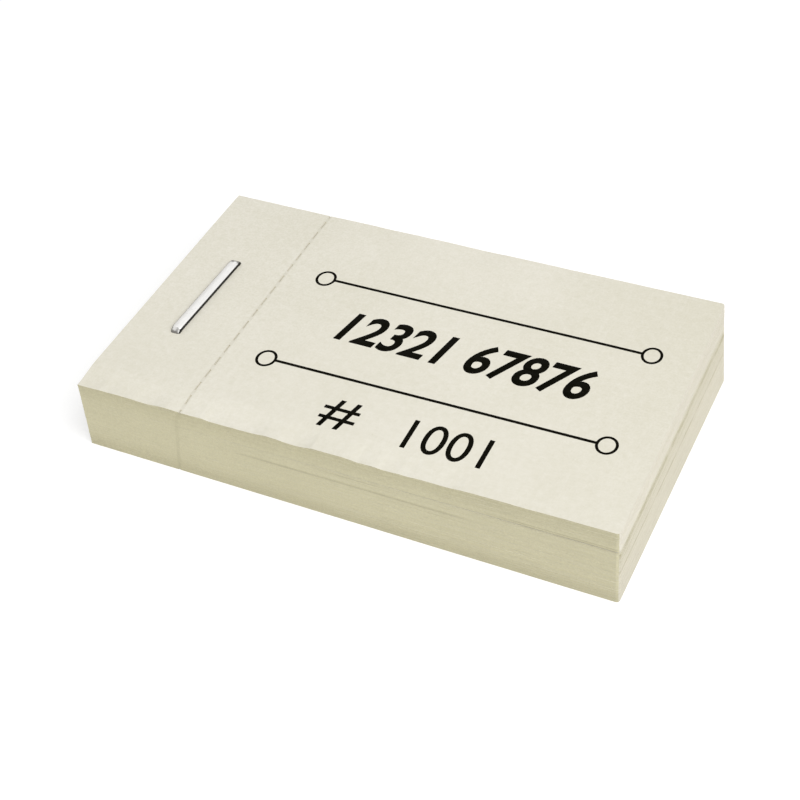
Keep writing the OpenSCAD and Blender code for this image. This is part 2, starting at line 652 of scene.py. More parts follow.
def cut_edge(name, tone_of, colours, along, streaks):
    material, tree, shader = new_material(name)
    dark, light = colours
    place = millimetres(tree)
    streak = noise(tree, millimetres(tree, along), 1.0, 3.0, 0.65)
    clouds = noise(tree, place, EDGE_CLOUDS_PER_MM, 2.0)
    grain = noise(tree, place, EDGE_GRAIN_PER_MM, 3.0, 0.7)
    x, _, _ = tree.split(place)
    tone = tone_of(tree, place) + (streak - 0.5) * streaks
    shade = tone + (clouds - 0.5) * 0.10 + (grain - 0.5) * 0.40
    colour = mix_colour(tree, tree.clamp(shade, 0.0, 1.0), dark, light)
    # Cut edges near the perforated line darken a trace: bruise, and painted shade on the walls of the
    # slits.
    colour = mix_colour(tree, bruise_and_slit_shade(tree, x) * 0.07, colour, dark)
    set_finish(tree, shader, colour, 0.82 + grain * 0.12, 0.12)
    set_bumps(tree, shader, streak * 0.4 + grain * 0.6, 0.4, TOOTH_DEPTH)
    return material


side_edge = cut_edge("cut_side_edge", tone_on_side, SIDE_COLOURS, STREAKS_ALONG_X, 0.09)
end_edge = cut_edge("cut_end_edge", tone_on_end, END_COLOURS, STREAKS_ALONG_Y, 0.22)
print("edges:", side_edge.name, end_edge.name)

# %% [markdown]
# ## Printing ink
# One pass of black letterpress. Ink on uncoated stock is never quite even, so the black breaks up
# slightly where the paper's tooth stood clear of the type.

# %% Ink material
FULL_BLACK = rgb(13, 12, 6)
THIN_BLACK = rgb(74, 70, 58)


def black_ink():
    material, tree, shader = new_material("black_ink")
    blots = noise(tree, millimetres(tree), 3.5, 3.0, 0.65)
    worn = tree.smooth(blots, 0.60, 0.85)
    colour = mix_colour(tree, worn * 0.25, FULL_BLACK, THIN_BLACK)
    set_finish(tree, shader, colour, 0.55 + blots * 0.25, 0.02)
    return material


ink = black_ink()
PAPER_AND_INK = [cream_paper, side_edge, end_edge, ink]
print("a leaf's finishes:", [material.name for material in PAPER_AND_INK])

# %% [markdown]
# ## From a flat sheet to a leaf
# A sheet of faces becomes a leaf when it gets its thickness. Extruding moves the faces up and leaves
# the underside open, so a turned-over copy of the sheet closes it, and merging the doubles makes one
# skin. The attribute cut keeps what each face is: 0 for paper, 1 for a long side, 2 for an end and 3
# for ink.

# %% Thickness and the cut attribute
MERGE = 0.0005 * MM
INK_FACE = 3.0


def keep_as(tree, geometry, name, value, domain):
    settings = {"data_type": "FLOAT", "domain": domain}
    sockets = {"Geometry": geometry, "Name": name, "Value": value}
    return tree.node("GeometryNodeStoreNamedAttribute", settings, sockets)


def merge(tree, mesh):
    return tree.node("GeometryNodeMergeByDistance", None, {"Geometry": mesh, "Distance": MERGE})


def thicken(tree, sheet, thickness):
    sheet = merge(tree, sheet)
    sockets = {"Mesh": sheet, "Offset Scale": thickness, "Individual": False}
    top = tree.node("GeometryNodeExtrudeMesh", {"mode": "FACES"}, sockets)
    wall = top.other("Side")
    across, _, _ = tree.split(tree.node("GeometryNodeInputNormal"))
    top = keep_as(tree, top, "cut", wall * (1.0 + (abs(across) > 0.6)), "FACE")
    under = tree.node("GeometryNodeFlipFaces", None, {"Mesh": sheet})
    return merge(tree, tree.node("GeometryNodeJoinGeometry", None, {"Geometry": [top, under]}))


print("leaf thickness", round(LEAF_T / MM, 4), "mm, pitch", round(PITCH / MM, 4), "mm")

# %% [markdown]
# ## Many leaves from one
# The leaves of a wad are one leaf, set on one point for each level. The points carry everything that is
# known about their leaf, and the leaf inherits it, so that later steps of the tree can read it by name.

# %% Points that carry the leaves
def store_lies(mesh, leaf_levels):
    for label in lies[0]:
        store = mesh.attributes.new(label, "FLOAT", "POINT")
        store.data.foreach_set("value", [lies[level][label] for level in leaf_levels])


def level_points(name, leaf_levels):
    mesh = bpy.data.meshes.new(name)
    mesh.from_pydata([(0.0, 0.0, level * PITCH) for level in leaf_levels], [], [])
    store_lies(mesh, leaf_levels)
    return mesh


def pile(tree, points, leaf):
    sockets = {"Points": points, "Instance": leaf}
    instances = tree.node("GeometryNodeInstanceOnPoints", None, sockets)
    return tree.node("GeometryNodeRealizeInstances", None, {"Geometry": instances})


print("a leaf carries:", ", ".join(lies[0]))

# %% [markdown]
# ## A grid to cut from
# Both halves of a leaf start as a grid whose points are then moved to where they are needed. A point's
# index tells its column and its row.

# %% Grid, columns and rows
def unit_grid(tree, columns, rows):
    sockets = {"Size X": 1.0, "Size Y": 1.0, "Vertices X": columns, "Vertices Y": rows}
    return tree.node("GeometryNodeMeshGrid", None, sockets)


def column_and_row(tree, rows):
    index = tree.node("GeometryNodeInputIndex")
    column = tree.math("FLOOR", (index + 0.5) / rows)
    return column, index - column * rows


def set_place(tree, geometry, place):
    return tree.node("GeometryNodeSetPosition", None, {"Geometry": geometry, "Position": place})


PAIRS = 19
ROWS = 2 * PAIRS + 2
print("rows for", PAIRS, "slits:", ROWS)

# %% [markdown]
# ## The perforated ticket
# The perforated line is what takes most skill in the real book: a rule of short blades cuts slits that
# almost meet, and the paper left between them, the ties, has to hold until it is pulled. Cutting the
# slits out with a boolean would be slow on a hundred leaves. Here the grid's rows slide to the ends of
# the slits, two rows for each, and its first column is as wide as a slit. The last rows and columns
# stop short of the corners, which are pulled in, as corners that have been thumbed are.

# %% Sheet with rows at the ends of the slits
COLUMN_SPREAD = 1.35
CORNER_SHARE = 0.29


def ticket_columns(tree, size, column):
    columns = size["Columns"]
    span = size["Length"] - size["Slit Width"] - size["Corner"]
    x = tree.math("MINIMUM", column, 1.0) * size["Slit Width"]
    x = x + tree.clamp((column - 1.0) / (columns - 2.0), 0.0, 1.0) ** COLUMN_SPREAD * span
    x = x + tree.math("MAXIMUM", column - columns + 1.0, 0.0) * size["Corner"]
    return tree.math("MAXIMUM", x, size["Tie Gap"])


def slit_ends(tree, size, row):
    pair = tree.math("FLOOR", (row - 0.5) / 2.0)
    late = row - 1.0 - pair * 2.0
    line = (pair - (PAIRS - 1) / 2 + size["Phase"]) * size["Slit Pitch"]
    line = line + (late - 0.5) * size["Slit Length"]
    inner = size["Width"] / 2.0 - size["Corner"]
    return tree.math("MINIMUM", tree.math("MAXIMUM", line, 0.0 - inner), inner)


def ticket_sheet(tree, size):
    columns = size["Columns"]
    column, row = column_and_row(tree, ROWS)
    first = row < 0.5
    last = row > ROWS - 1.5
    x = ticket_columns(tree, size, column)
    y = slit_ends(tree, size, row) * (1.0 - first - last) + size["Width"] / 2.0 * (last - first)
    corner = (first + last) * (column > columns - 0.5) * size["Corner"] * CORNER_SHARE
    place = tree.point(x - corner, y - corner * (last - first), 0.0)
    return set_place(tree, unit_grid(tree, columns + 1.0, ROWS), place)


print("a corner of radius", round(CORNER_R / MM, 2), "mm is pulled in by", CORNER_SHARE, "of it")

# %% [markdown]
# A slit is now simply a face that is taken out: one that lies in the first column and near enough to
# the middle of its step.

# %% Cut the slits
def cut_slits(tree, sheet, size):
    x, y, _ = tree.split(tree.node("GeometryNodeInputPosition"))
    turn = y / size["Slit Pitch"] - size["Phase"]
    off = abs(turn - tree.math("ROUND", turn)) * size["Slit Pitch"]
    slit = (x < size["Slit Width"]) * (off < size["Slit Length"] / 2.0)
    sockets = {"Geometry": sheet, "Selection": slit}
    return tree.node("GeometryNodeDeleteGeometry", {"domain": "FACE"}, sockets)


print("a slit takes", round(100 * SLIT_L / SLIT_PITCH), "per cent of its step")

# %% [markdown]
# ## Lift and wave
# A leaf then takes its place in the pile. Its lift grows from nothing at the stub end to its full
# height at the free end, the twist raises the far corner more than the near one, and a slow noise over
# the sheet and the levels gives the wave that handled paper has. Stubs and tickets share this step, so
# that they meet at the ties.

# %% How a leaf rises
WAVE = 0.16 * MM
WAVES_PER_M = (45.0, 55.0)
WAVE_PER_LEVEL = 0.012


def leaf_rise(tree, along, y):
    level = tree.named("level")
    place = tree.point(along * WAVES_PER_M[0], y * WAVES_PER_M[1], level * WAVE_PER_LEVEL)
    wave = noise(tree, place, 1.0, 1.0) - 0.5
    lift = tree.named("lift") + tree.named("twist") * y / LEAF_W + wave * WAVE * level / TOP_LEVEL
    return lift * along / LEAF_L


print("waves of up to", round(WAVE / MM, 2), "mm")

# %% [markdown]
# ## Soft rims
# The upper leaves droop along the front, where the book is held. The rim sags in soft places that a
# noise picks out, gives way most at the perforated line, where the slits weaken it, and stays firm
# towards the free end. Deeper leaves are held up by the pile, so the droop fades with depth.

# %% Droop of the rims
SAG = 0.26 * MM
WEAK = 0.16 * MM
PRESS = 0.10 * MM
FALL = 3.5 * MM
BACK_SHARE = 0.25
WEAK_PLACE = STUB_L + 0.7 * MM
DROOP_FADE = 0.10


def rim_droop(tree, along, y):
    rim = tree.smooth(abs(y), LEAF_W / 2 - FALL, LEAF_W / 2)
    rim = rim * (BACK_SHARE + (y < 0.0) * (1 - BACK_SHARE))
    soft = tree.smooth(noise(tree, tree.point(along * 170.0, y * 30.0, 0.0), 1.0, 2.0), 0.38, 0.68)
    weak = 1.0 - tree.smooth(abs(along - WEAK_PLACE), 0.5 * MM, 3.6 * MM)
    firm = 1.0 - tree.smooth(along, LEAF_L * 0.55, LEAF_L * 0.95)
    fade = tree.math("EXPONENT", (tree.named("level") - TOP_LEVEL) * DROOP_FADE)
    return rim * (soft * SAG + weak * WEAK + PRESS) * firm * fade


print("the front rim droops by up to", round((SAG + WEAK + PRESS) / MM, 2), "mm")

# %% [markdown]
# The cut itself is slightly rough: the last row of points on each side is moved in and out by a few
# hundredths of a millimetre, differently on each leaf, and the blades have crushed the rim a trace
# where the perforated line runs out.

# %% Fray of the rims
FRAY = 0.05 * MM
CRUSH = 0.006 * MM
FRAYS_PER_M = (900.0, 40.0)
FRAY_PER_LEVEL = 3.7


def rim_wear(tree, x, y):
    rim = abs(y) > LEAF_W / 2 - 0.01 * MM
    place = tree.point(x * FRAYS_PER_M[0], y * FRAYS_PER_M[1], tree.named("level") * FRAY_PER_LEVEL)
    rough = noise(tree, place, 1.0, 2.0) - 0.5
    inward = tree.math("SIGN", y) * (x < SLIT_W * 1.5) * -CRUSH
    return rim * (rough * FRAY + inward)


print("frayed by up to", round(FRAY / 2 / MM, 3), "mm")

# %% [markdown]
# ## Laying the tickets
# Here the shifts of the pile come in: lean and skew at the free end, drift along the front and creep at
# the perforated line. The print goes through the same step as the paper, so ink always lies on its
# leaf.

# %% Geometry tree for tickets
SKEW_REACH = 12.0


def front_drift(tree, y):
    return tree.named("drift") * (0.5 - y / LEAF_W)


def lay_tickets(tree, geometry):
    x, y, z = tree.split(tree.node("GeometryNodeInputPosition"))
    along = x + STUB_L
    share = along / LEAF_L
    back = tree.named("lean") * share + tree.named("skew") * y / LEAF_W * share ** SKEW_REACH
    side = (tree.named("side") + front_drift(tree, y)) * share + rim_wear(tree, x, y)
    height = z + leaf_rise(tree, along, y) - rim_droop(tree, along, y)
    creep = tree.named("creep") * (1.0 - x / TICKET_L)
    return set_place(tree, geometry, tree.point(x + PERF_X + back + creep, y + side, height))


TICKET_LENGTHS = (
    "Length", "Width", "Thickness", "Corner", "Slit Pitch", "Slit Length", "Slit Width", "Phase",
    "Tie Gap",
)
TICKET_INPUTS = {**dict.fromkeys(TICKET_LENGTHS, "number"), "Columns": "count", "Print": "object"}


def ticket_tree():
    tree, size = geometry_tree("perforated_tickets", TICKET_INPUTS)
    sheet = cut_slits(tree, ticket_sheet(tree, size), size)
    leaves = pile(tree, size["Geometry"], thicken(tree, sheet, size["Thickness"]))
    printed = tree.node("GeometryNodeObjectInfo", None, {"Object": size["Print"]}, "Geometry")
    both = tree.node("GeometryNodeJoinGeometry", None, {"Geometry": [leaves, printed]})
    end_tree(tree, lay_tickets(tree, both), PAPER_AND_INK)
    return tree


perforated_tickets = ticket_tree()
print("ticket tree has", len(perforated_tickets.nodes.nodes), "nodes")

# %% [markdown]
# ## Rules and rings
# Each ticket carries two thin rules that end in small rings, a common printer's ornament. They were set
# by hand and stand a trace askew. A curve with a bevel could draw them, but strips of quads keep the
# count of faces low and lie flat.

# %% Rules and rings of the print
RULE_T = 0.36 * MM
RING_T = 0.30 * MM
RING_LONG = 1.13 * MM
RING_TALL = 1.28 * MM
RULE_STEPS = 18
RING_STEPS = 40
UPPER_RULE = (Vector((4.75, 6.87, 0.0)) * MM, Vector((41.58, 6.99, 0.0)) * MM)
LOWER_RULE = (Vector((4.75, -7.04, 0.0)) * MM, Vector((41.58, -6.74, 0.0)) * MM)


def add_rule(bm, first, last):
    way = (last - first).normalized()
    left = first + way * (RING_LONG - RING_T / 2)
    right = last - way * (RING_LONG - RING_T / 2)
    half = Vector((-way.y, way.x, 0.0)) * RULE_T / 2
    rails = []
    for step in range(RULE_STEPS + 1):
        place = left.lerp(right, step / RULE_STEPS)
        rails.append([bm.verts.new(place - half), bm.verts.new(place + half)])
    for near, far in zip(rails, rails[1:]):
        bm.faces.new((near[0], far[0], far[1], near[1]))


def add_ring(bm, middle):
    rings = []
    for step in range(RING_STEPS):
        angle = 2 * math.pi * step / RING_STEPS
        pair = []
        for inset in (RING_T, 0.0):
            x = math.cos(angle) * (RING_LONG - inset)
            y = math.sin(angle) * (RING_TALL - inset)
            pair.append(bm.verts.new(middle + Vector((x, y, 0.0))))
        rings.append(pair)
    for near, far in zip(rings, rings[1:] + rings[:1]):
        bm.faces.new((near[0], near[1], far[1], far[0]))


print("rules", round((UPPER_RULE[1] - UPPER_RULE[0]).length / MM, 1), "mm between ring centres")

# %% [markdown]
# ## Figures
# Between the rules stands a bold slanted line of plain figures, and below them a number sign and the
# ticket's serial number. Blender's own font gives them as curves, which can be made bolder and slanted.
# They become meshes, because a mesh can be scaled to the type's height and length, and can bend with
# its leaf.

# %% Figures of the print
CURVE_STEPS = 6


def add_figures(bm, words, box, bold=0.0, slant=0.0):
    curve = bpy.data.curves.new("figures", "FONT")
    curve.body = words
    curve.offset = bold
    curve.shear = slant
    curve.resolution_u = CURVE_STEPS
    holder = bpy.data.objects.new("figures", curve)
    mesh = bpy.data.meshes.new_from_object(holder)
    xs = [v.co.x for v in mesh.vertices]
    ys = [v.co.y for v in mesh.vertices]
    first_x = min(xs)
    first_y = min(ys)
    (left, low), (right, high) = box
    grow = Vector(((right - left) / (max(xs) - first_x), (high - low) / (max(ys) - first_y)))
    for vertex in mesh.vertices:
        vertex.co.x = left + (vertex.co.x - first_x) * grow.x
        vertex.co.y = low + (vertex.co.y - first_y) * grow.y
    bm.from_mesh(mesh)
    bpy.data.objects.remove(holder)
    bpy.data.curves.remove(curve)
    bpy.data.meshes.remove(mesh)


TITLE = "12321 67876"
TITLE_BOLD = 0.023
TITLE_SLANT = 0.24
MARK_BOLD = 0.004
FIRST_SERIAL = 1001
TITLE_BOX = ((9.8 * MM, -1.90 * MM), (37.5 * MM, 2.90 * MM))
MARK_BOX = ((13.6 * MM, -14.1 * MM), (17.5 * MM, -10.0 * MM))
SERIAL_BOX = ((22.95 * MM, -14.1 * MM), (31.4 * MM, -9.95 * MM))
print("title figures:", TITLE, "and serials", FIRST_SERIAL, "to", FIRST_SERIAL + TOP_LEVEL)

# %% [markdown]
# ## A ticket's print, still flat
# Rules, rings and figures are drawn into one flat mesh. Corners that fall together are welded, and every
# face is turned to look up, because the next step raises the film in that direction. The serial number
# counts from the top leaf down, as the tickets are torn off.

# %% Draw the print
WELD = 0.002 * MM


def draw_print(bm, level):
    for rule in (UPPER_RULE, LOWER_RULE):
        add_rule(bm, *rule)
        for end in rule:
            add_ring(bm, end)
    add_figures(bm, TITLE, TITLE_BOX, TITLE_BOLD, TITLE_SLANT)
    add_figures(bm, "#", MARK_BOX, MARK_BOLD)
    add_figures(bm, str(FIRST_SERIAL + TOP_LEVEL - level), SERIAL_BOX)
    bmesh.ops.remove_doubles(bm, verts=bm.verts, dist=WELD)
    bmesh.ops.recalc_face_normals(bm, faces=bm.faces)
    for face in bm.faces:
        if face.normal.z < 0:
            face.normal_flip()


print("rules, rings and figures welded at", round(WELD / MM, 3), "mm")

# %% [markdown]
# ## A film of ink
# The flat print becomes a film a few thousandths of a millimetre thick, just clear of the paper so that
# the two never flicker. Extruding hands out the film's walls in no fixed order, so they are sorted by
# their corners, and the mesh comes out the same each time. The film carries the numbers of its leaf,
# because the tree lays it by these.

# %% One print for each top leaf
INK_T = 0.006 * MM
INK_CLEAR = 0.001 * MM


def sort_walls(bm, first):
    bm.verts.index_update()
    bm.faces.index_update()
    walls = list(bm.faces)[first:]
    walls.sort(key=lambda wall: sorted(vertex.index for vertex in wall.verts))
    ranks = {wall: first + rank for rank, wall in enumerate(walls)}
    bm.faces.sort(key=lambda face: ranks.get(face, face.index))


def thicken_print(bm, base):
    lower = list(bm.faces)
    raised = bmesh.ops.extrude_face_region(bm, geom=lower, use_keep_orig=True)
    sort_walls(bm, 2 * len(lower))
    upper = [item for item in raised["geom"] if isinstance(item, bmesh.types.BMVert)]
    bmesh.ops.translate(bm, verts=upper, vec=(0.0, 0.0, INK_T))
    bmesh.ops.reverse_faces(bm, faces=lower)
    bmesh.ops.translate(bm, verts=bm.verts, vec=(0.0, 0.0, base))


def ticket_print(level):
    bm = bmesh.new()
    draw_print(bm, level)
    thicken_print(bm, level * PITCH + LEAF_T + INK_CLEAR)
    mesh = bpy.data.meshes.new("print")
    bm.to_mesh(mesh)
    bm.free()
    store_lies(mesh, [level] * len(mesh.vertices))
    store = mesh.attributes.new("cut", "FLOAT", "FACE")
    store.data.foreach_set("value", [INK_FACE] * len(mesh.polygons))
    return bpy.data.objects.new("print", mesh)


print("ink film", round(INK_T / MM, 3), "mm thick")

# %% [markdown]
# ## Slits that show on top
# Seen from above, the slits of a used book are dull rather than black. The slits of the leaves below
# the top one line up, half a step from its own, so what shows through its slits is the ties just below,
# painted darker along the line as the shade inside the slits. The second leaf has short slits, to be
# sure of that, and the others are off by a seeded trace.

# %% How the slits of a ticket lie
TOP_TIE_GAP = 0.03 * MM
COLUMNS = {"top": 60, "single": 26, "wad": 20, "last": 13}
PLAIN_SHEET = {
    "Length": TICKET_L, "Width": LEAF_W, "Thickness": LEAF_T, "Corner": CORNER_R,
    "Slit Pitch": SLIT_PITCH, "Slit Length": SLIT_L, "Slit Width": SLIT_W,
}


def slit_lies(name):
    if name == "ticket_1":
        return {"Phase": 0.5, "Slit Width": OPEN_SLIT_W, "Tie Gap": TOP_TIE_GAP}
    if name == "ticket_2":
        return {"Phase": 0.0, "Slit Length": SLIT_PITCH - SLIT_L}
    return {"Phase": rng.uniform(-0.025, 0.025)}


def columns_of(name):
    if name == "ticket_1":
        return COLUMNS["top"]
    return COLUMNS["single" if len(levels[name]) == 1 else "wad"]


print("columns of a sheet:", COLUMNS)

# %% [markdown] ## Tickets on their bodies Every ticket body gets one mesh. The top ticket turns about
# its own edge, so it simply rides on its body; the others are kept where the tree made them.

# %% Build the tickets
SHORT_BEND = 1.5 * MM
BEND_PER_DEPTH = 2.0


def build_ticket(name):
    leaf_levels = levels[name]
    printed = ticket_print(leaf_levels[-1])
    sizes = {**PLAIN_SHEET, "Columns": columns_of(name), "Print": printed, **slit_lies(name)}
    piece = run_tree(perforated_tickets, name + "_leaves", level_points(name, leaf_levels), sizes)
    bpy.data.objects.remove(printed)
    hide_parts(name)
    if name == "ticket_1":
        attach(piece, name)
    else:
        depth = hinge.z - leaf_levels[0] * PITCH
        bend = SHORT_BEND + BEND_PER_DEPTH * depth
        start = (PERF_X, 0.0, hinge.z - depth)
        PERF_X + bend
        hinge.z - depth
        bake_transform(piece)
    return piece


def triangles(piece):
    return sum(len(face.vertices) - 2 for face in piece.data.polygons)


ticket_pieces = [build_ticket(name) for name in tickets]
print("tickets:", len(ticket_pieces), "pieces,", sum(map(triangles, ticket_pieces)), "triangles")

# %% [markdown]
# ## Where the wire lies
# The stubs stay in the book and are pressed hard together by the staple, so its place has to be known
# before they are made. The frame gives its box. The wire stands slightly askew, as staples do, and its
# thickness and the length of its clinched ends can't be told from a box.

# %% Sizes of the wire
staple_low, staple_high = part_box("staple")
WIRE_X = (staple_low.x + staple_high.x) / 2
WIRE_Y = (staple_low.y + staple_high.y) / 2
WIRE_W = staple_high.x - staple_low.x
CROWN_L = staple_high.y - staple_low.y
WIRE_T = 0.60 * MM
CLINCH_L = 4.2 * MM
SKEWED = 0.034
WIRE_IN = WIRE_X - STUB_X
SINK = STACK_H + TOP_RISE * WIRE_IN / LEAF_L - (staple_high.z - WIRE_T)
print("the crown has sunk", round(SINK / MM, 3), "mm into the paper")

# %% [markdown]
# ## A stub's grid
# A stub is a plain piece of the same leaf, but its paper bends round the wire. The grid therefore
# crowds its columns and rows near the wire, to have points where it bends, and spreads them out towards
# the edges, where the stub is flat.

# %% Sheet with points near the wire
CROWDING = 2.2


def crowd(tree, way, edge, half, before, after):
    out = abs(way)
    inside = tree.math("MINIMUM", out / edge, 1.0) * half
    beyond = (tree.math("MAXIMUM", out - edge, 0.0) / (1.0 - edge)) ** CROWDING
    room = (way < 0.0) * (before - half) + (way > 0.0) * (after - half)
    return tree.math("SIGN", way) * (inside + beyond * room)


def stub_sheet(tree, size):
    columns = size["Columns"]
    rows = size["Rows"]
    column, row = column_and_row(tree, rows + 1.0)
    across = column / columns * 2.0 - 1.0
    up = row / rows * 2.0 - 1.0
    wire_columns = size["Wire Columns"] * 2.0 / columns
    wire_rows = size["Wire Rows"] * 2.0 / rows
    low = size["Width"] / 2.0 + WIRE_Y
    high = size["Width"] / 2.0 - WIRE_Y
    x = crowd(tree, across, wire_columns, WIRE_W / 2, WIRE_IN, size["Length"] - WIRE_IN)
    y = crowd(tree, up, wire_rows, CROWN_L / 2, low, high)
    place = tree.point(x + WIRE_IN, y + WIRE_Y, 0.0)
    return set_place(tree, unit_grid(tree, columns + 1.0, rows + 1.0), place)


print("the wire lies", round(WIRE_IN / MM, 2), "mm from the stub end")

# %% [markdown]
# ## Dents round the wire
# The staple has dished the paper round its crown, and round its clinched ends below. A cut-out would
# do, but pressed paper has soft shoulders, so the leaves are bent away from the wire instead, less and
# less with depth. A dent is a groove as wide as the wire, in the middle of a wide shallow dish.

# %% Grooves and dishes in the stubs
SHOULDER = 0.22 * MM
CLINCH_ROOM = 0.06 * MM
DISH_REACH = 2.2 * MM
DISH_DEPTH = 0.03 * MM
CROWN_FADE = 0.16
CLINCH_FADE = -0.09


def pressed(tree, x, y, half_length, middle, edge):
    along = y - WIRE_Y
    across = x - WIRE_IN - along * SKEWED
    wide = tree.math("MAXIMUM", abs(across) - WIRE_W / 2 - edge, 0.0)
    long = tree.math("MAXIMUM", abs(abs(along) - middle) - half_length - edge, 0.0)
    off = tree.math("SQRT", wide * wide + long * long)
    groove = 1.0 - tree.smooth(off, 0.0, SHOULDER)
    dish = 1.0 - tree.smooth(off, 0.0, DISH_REACH)
    return groove, dish


def stub_dents(tree, x, y):
    level = tree.named("level")
    groove, dish = pressed(tree, x, y, CROWN_L / 2, 0.0, -SHOULDER)
    down = groove * SINK + dish * DISH_DEPTH
    down = down * tree.math("EXPONENT", (level - TOP_LEVEL) * CROWN_FADE)
    groove, dish = pressed(tree, x, y, CLINCH_L / 2, CROWN_L / 2 - CLINCH_L / 2, CLINCH_ROOM)
    up = groove * WIRE_T + dish * DISH_DEPTH
    up = up * tree.math("EXPONENT", level * CLINCH_FADE)
    return down, up


print("dents reach", round(DISH_REACH / MM, 1), "mm from the wire")

# %% [markdown]
# ## Laying the stubs
# Stubs share the rise, the droop and the fray with the tickets, and follow the creep of the perforated
# line from behind the wire on. Their cut end leans and turns with the pile, which is not trimmed
# square there either.

# %% Geometry tree for stubs
LEAN_MIDDLE = 0.34
LEAN_TURN = 1.32
STUB_INPUTS = {
    **dict.fromkeys(("Length", "Width", "Thickness"), "number"),
    **dict.fromkeys(("Columns", "Wire Columns", "Rows", "Wire Rows"), "count"),
}


def lay_stubs(tree, geometry):
    x, y, z = tree.split(tree.node("GeometryNodeInputPosition"))
    down, up = stub_dents(tree, x, y)
    loose = 1.0 - x / STUB_L
    past = WIRE_IN + WIRE_W
    creep = tree.named("creep") * tree.clamp((x - past) / (STUB_L - past), 0.0, 1.0)
    side = rim_wear(tree, STUB_L - x, y) + front_drift(tree, y) * x / LEAF_L
    askew = tree.named("slip") + tree.named("stub_lean") * (LEAN_MIDDLE - y * LEAN_TURN / LEAF_W)
    height = z + leaf_rise(tree, x, y) - down + up - rim_droop(tree, x, y)
    return set_place(tree, geometry, tree.point(x + STUB_X + askew * loose + creep, y + side, height))


def stub_tree():
    tree, size = geometry_tree("stub_leaves", STUB_INPUTS)
    leaf = thicken(tree, stub_sheet(tree, size), size["Thickness"])
    end_tree(tree, lay_stubs(tree, pile(tree, size["Geometry"], leaf)), PAPER_AND_INK[:3])
    return tree


stub_leaves = stub_tree()
print("stub tree has", len(stub_leaves.nodes.nodes), "nodes")

# %% [markdown]
# ## Stubs on their body
# Only the top leaves need the fine grid, because only their dents show. Two runs of the tree with
# different counts are joined into one mesh, since all the stubs belong to the same body.

# %% Build the stubs
FINE = {"Columns": 40, "Wire Columns": 5, "Rows": 80, "Wire Rows": 16}
PLAIN = {"Columns": 10, "Wire Columns": 1, "Rows": 20, "Wire Rows": 4}
FINE_LEAVES = 3


def join_pieces(name, parts):
    bm = bmesh.new()
    for part in parts:
        bm.from_mesh(part.data)
    mesh = bpy.data.meshes.new(name)
    bm.to_mesh(mesh)
    bm.free()
    for material in parts[0].data.materials:
        mesh.materials.append(material)
    for part in parts:
        bpy.data.objects.remove(part)
    return add_object(name, mesh)


def build_stubs(name, leaf_levels, counts):
    sizes = {"Length": STUB_L, "Width": LEAF_W, "Thickness": LEAF_T, **counts}
    return run_tree(stub_leaves, name, level_points(name, leaf_levels), sizes)


fine = build_stubs("stubs_fine", stub_levels[-FINE_LEAVES:], FINE)
plain = build_stubs("stubs_plain", stub_levels[:-FINE_LEAVES], PLAIN)
stubs = join_pieces("stub_leaves", [fine, plain])
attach(stubs, "stub_block")
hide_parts(*[ticket.replace("ticket", "stub") for ticket in tickets])
print("stubs:", len(stubs.data.polygons), "faces,", triangles(stubs), "triangles")

# %% [markdown]
# ## The last leaf
# The last leaf is a stub and a ticket that stay together, lying flat on the table. It is made by the
# same two trees, at level 0, with no lift, and the clinched ends press into its underside.

# %% Build the last leaf
def build_last_leaf():
    printed = ticket_print(0)
    sizes = {**PLAIN_SHEET, "Phase": 0.5, "Columns": COLUMNS["last"], "Print": printed}
    ticket = run_tree(perforated_tickets, "last_ticket", level_points("last", [0]), sizes)
    bpy.data.objects.remove(printed)
    stub = build_stubs("last_stub", [0], FINE)
    return join_pieces("last_leaf_sheet", [ticket, stub])


last_leaf = build_last_leaf()
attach(last_leaf, "stub_block")
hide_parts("last_leaf")
print("last leaf:", triangles(last_leaf), "triangles")

# %% [markdown]
# ## Zinc
# Staple stock is round wire rolled flat and coated with zinc. It is bright, with fine lines drawn along
# it by the rollers, so the noise for them is squeezed across the wire and stretched along it. The crown
# is painted a little darker on its side towards the stub end, as shade on that rounded side. At the
# bends the zinc is dull where it cracked, and the same dark colour is painted shade where the wire
# bends down into the paper, further in at the far one.

# %% Zinc wire material
ZINC = (rgb(234, 233, 230), rgb(250, 249, 247))
SPOT = rgb(176, 174, 168)
ROLLED = rgb(196, 194, 198)
SHADED = rgb(196, 193, 186)
CRACKED_AND_SHADED = rgb(92, 89, 84)
WIRE_LINES = (22.0, 0.9, 22.0)
FAR_CRACK_AND_SHADE = 0.42


